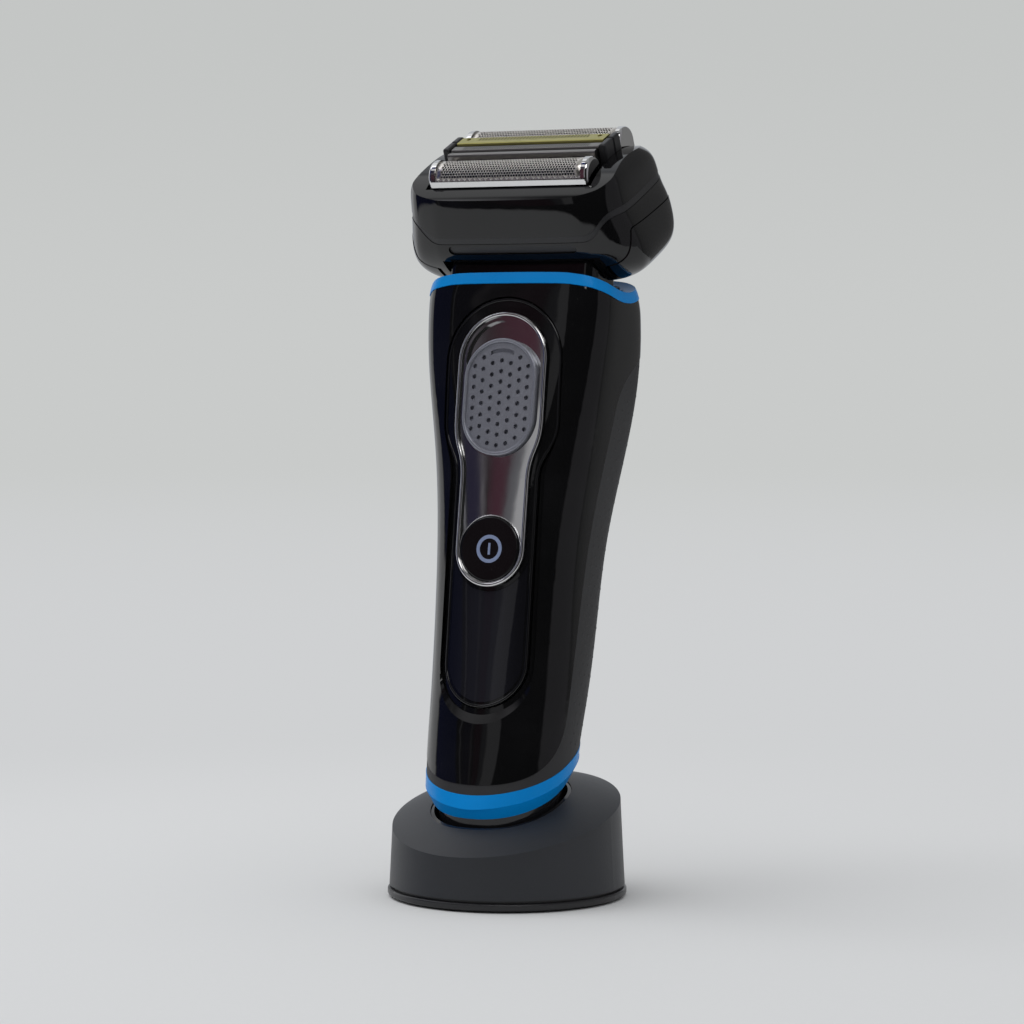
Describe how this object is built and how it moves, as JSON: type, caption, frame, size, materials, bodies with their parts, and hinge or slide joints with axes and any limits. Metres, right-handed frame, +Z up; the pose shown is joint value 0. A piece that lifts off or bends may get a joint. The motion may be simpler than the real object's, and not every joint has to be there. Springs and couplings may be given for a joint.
{
  "type": "foil shaver with charging stand",
  "caption": "Cordless foil shaver with a rocking head and floating foils, standing in a small round charging stand with a slanted top.",
  "frame": {"origin": "centre of the stand's underside, on the surface it stands on", "axes": "+Z up; the shaver's front, with its power button, faces -Y; +X is to the right of someone facing the front"},
  "size_m": [0.061, 0.0612, 0.1796],
  "materials": {
    "charcoal_plastic": "fine matte texture",
    "gloss_black": "high gloss",
    "cup_black": "high gloss",
    "smoked_window": "smoked glossy lens",
    "grip_rubber": "matte with rows of small dots",
    "blue_plastic": "satin gloss",
    "chrome": "mirror polished",
    "satin_silver": "fine satin",
    "steel": "polished",
    "foil_steel": "finely perforated",
    "gold": "titanium nitride gold",
    "dark_plastic": "satin",
    "soft_seal": "soft matte",
    "pad_rubber": "matte",
    "circuit_green": "solder mask",
    "battery_wrap": "shrink wrap",
    "contact_gold": "plated",
    "icon_light": "printed",
    "nylon": "natural",
    "motor_grey": "moulded",
    "ballast_iron": "painted",
    "screw_steel": "zinc"
  },
  "bodies": {
    "stand": {"stand_housing": "charcoal_plastic", "stand_cup": "cup_black", "stand_base": "dark_plastic", "non_slip_pad": "pad_rubber", "stand_screws": "screw_steel", "ballast_plate": "ballast_iron", "stand_board": "circuit_green", "charge_post": "dark_plastic", "charge_pin_left": "contact_gold", "charge_pin_right": "contact_gold", "power_inlet": "dark_plastic", "inlet_pins": "contact_gold"},
    "handle": {"front_shell": "gloss_black", "rear_grip": "grip_rubber", "top_collar": "blue_plastic", "bottom_ring": "blue_plastic", "bottom_cap": "gloss_black", "charge_socket": "dark_plastic", "socket_sleeve_left": "contact_gold", "socket_sleeve_right": "contact_gold", "front_panel": "gloss_black", "display_window": "smoked_window", "chrome_bezel": "chrome", "circuit_board": "circuit_green", "power_switch": "motor_grey", "battery": "battery_wrap", "inner_chassis": "nylon", "neck": "gloss_black", "pivot_pins": "steel", "neck_seal": "soft_seal", "handle_screws": "screw_steel"},
    "lock_slide": {"lock_slider": "satin_silver", "lock_bolt": "dark_plastic"},
    "power_key": {"power_button": "gloss_black", "power_icon": "icon_light"},
    "trimmer": {"trimmer_carriage": "dark_plastic", "trimmer_comb": "steel", "trimmer_cutter": "steel"},
    "head": {"head_housing": "gloss_black", "head_insert": "dark_plastic", "seam_band": "dark_plastic", "drive_unit": "motor_grey"},
    "arm_front": {"drive_arm_front": "nylon"},
    "arm_rear": {"drive_arm_rear": "nylon"},
    "release_left": {"release_button_left": "gloss_black"},
    "release_right": {"release_button_right": "gloss_black"},
    "cassette": {"cassette_frame": "gloss_black", "end_block_left": "dark_plastic", "end_block_right": "dark_plastic"},
    "guard": {"guard_bar": "steel"},
    "middle_comb": {"middle_trimmer": "steel"},
    "middle_blade": {"middle_trimmer_blade": "steel"},
    "lift_comb": {"lift_trimmer": "gold"},
    "lift_blade": {"lift_trimmer_blade": "steel"},
    "foil_set_front": {"foil_front": "foil_steel", "foil_frame_front": "chrome"},
    "foil_set_rear": {"foil_rear": "foil_steel", "foil_frame_rear": "chrome"},
    "blade_set_front": {"cutter_front": "steel"},
    "blade_set_rear": {"cutter_rear": "steel"}
  },
  "joints": [
    {"name": "shaver_lift", "type": "slide", "parent": "stand", "child": "handle", "axis": [0, 0.1564, 0.9877], "range_m": [0, 0.025]},
    {"name": "head_tilt", "type": "hinge", "parent": "handle", "child": "head", "pos_m": [0, 0.01462, 0.15556], "axis": [1, 0, 0], "range_deg": [-30, 6], "stiffness_Nm_per_rad": 0.25},
    {"name": "cassette_release", "type": "slide", "parent": "head", "child": "cassette", "axis": [0, -0.4067, 0.9135], "range_m": [0, 0.025]},
    {"name": "foil_front_float", "type": "slide", "parent": "cassette", "child": "foil_set_front", "axis": [0, 0.4067, -0.9135], "range_m": [0, 0.0018], "stiffness_N_per_m": 300, "springref_m": -0.002},
    {"name": "foil_rear_float", "type": "slide", "parent": "cassette", "child": "foil_set_rear", "axis": [0, 0.4067, -0.9135], "range_m": [0, 0.0018], "stiffness_N_per_m": 300, "springref_m": -0.002},
    {"name": "middle_comb_float", "type": "slide", "parent": "cassette", "child": "middle_comb", "axis": [0, 0.4067, -0.9135], "range_m": [0, 0.0015], "stiffness_N_per_m": 300, "springref_m": -0.002},
    {"name": "lift_comb_float", "type": "slide", "parent": "cassette", "child": "lift_comb", "axis": [0, 0.4067, -0.9135], "range_m": [0, 0.0015], "stiffness_N_per_m": 300, "springref_m": -0.002},
    {"name": "guard_float", "type": "slide", "parent": "cassette", "child": "guard", "axis": [0, 0.4067, -0.9135], "range_m": [0, 0.001], "stiffness_N_per_m": 300, "springref_m": -0.002},
    {"name": "drive_front", "type": "slide", "parent": "head", "child": "arm_front", "axis": [1, 0, 0], "range_m": [-0.0012, 0.0012], "stiffness_N_per_m": 400},
    {"name": "drive_rear", "type": "slide", "parent": "head", "child": "arm_rear", "axis": [1, 0, 0], "range_m": [-0.0012, 0.0012], "stiffness_N_per_m": 400},
    {"name": "cutter_front_sweep", "type": "slide", "parent": "foil_set_front", "child": "blade_set_front", "axis": [1, 0, 0], "range_m": [-0.0012, 0.0012]},
    {"name": "cutter_rear_sweep", "type": "slide", "parent": "foil_set_rear", "child": "blade_set_rear", "axis": [1, 0, 0], "range_m": [-0.0012, 0.0012]},
    {"name": "middle_blade_sweep", "type": "slide", "parent": "middle_comb", "child": "middle_blade", "axis": [1, 0, 0], "range_m": [-0.0012, 0.0012]},
    {"name": "lift_blade_sweep", "type": "slide", "parent": "lift_comb", "child": "lift_blade", "axis": [1, 0, 0], "range_m": [-0.0012, 0.0012]},
    {"name": "release_press_left", "type": "slide", "parent": "head", "child": "release_left", "axis": [1, 0, 0], "range_m": [0, 0.0008], "stiffness_N_per_m": 600, "springref_m": -0.0015},
    {"name": "release_press_right", "type": "slide", "parent": "head", "child": "release_right", "axis": [-1, 0, 0], "range_m": [0, 0.0008], "stiffness_N_per_m": 600, "springref_m": -0.0015},
    {"name": "lock_slide_up", "type": "slide", "parent": "handle", "child": "lock_slide", "axis": [0, 0.1564, 0.9877], "range_m": [0, 0.004]},
    {"name": "power_press", "type": "slide", "parent": "handle", "child": "power_key", "axis": [0, 0.9877, -0.1564], "range_m": [0, 0.0009], "stiffness_N_per_m": 800, "springref_m": -0.001},
    {"name": "trimmer_slide", "type": "slide", "parent": "handle", "child": "trimmer", "axis": [0, 0.1564, 0.9877], "range_m": [0, 0.008]}
  ],
  "couplings": [
    {"joint": "drive_rear", "follows": "drive_front", "ratio": -1},
    {"joint": "cutter_front_sweep", "follows": "drive_front", "ratio": 1},
    {"joint": "cutter_rear_sweep", "follows": "drive_front", "ratio": -1},
    {"joint": "middle_blade_sweep", "follows": "drive_front", "ratio": 1},
    {"joint": "lift_blade_sweep", "follows": "drive_front", "ratio": -1}
  ]
}
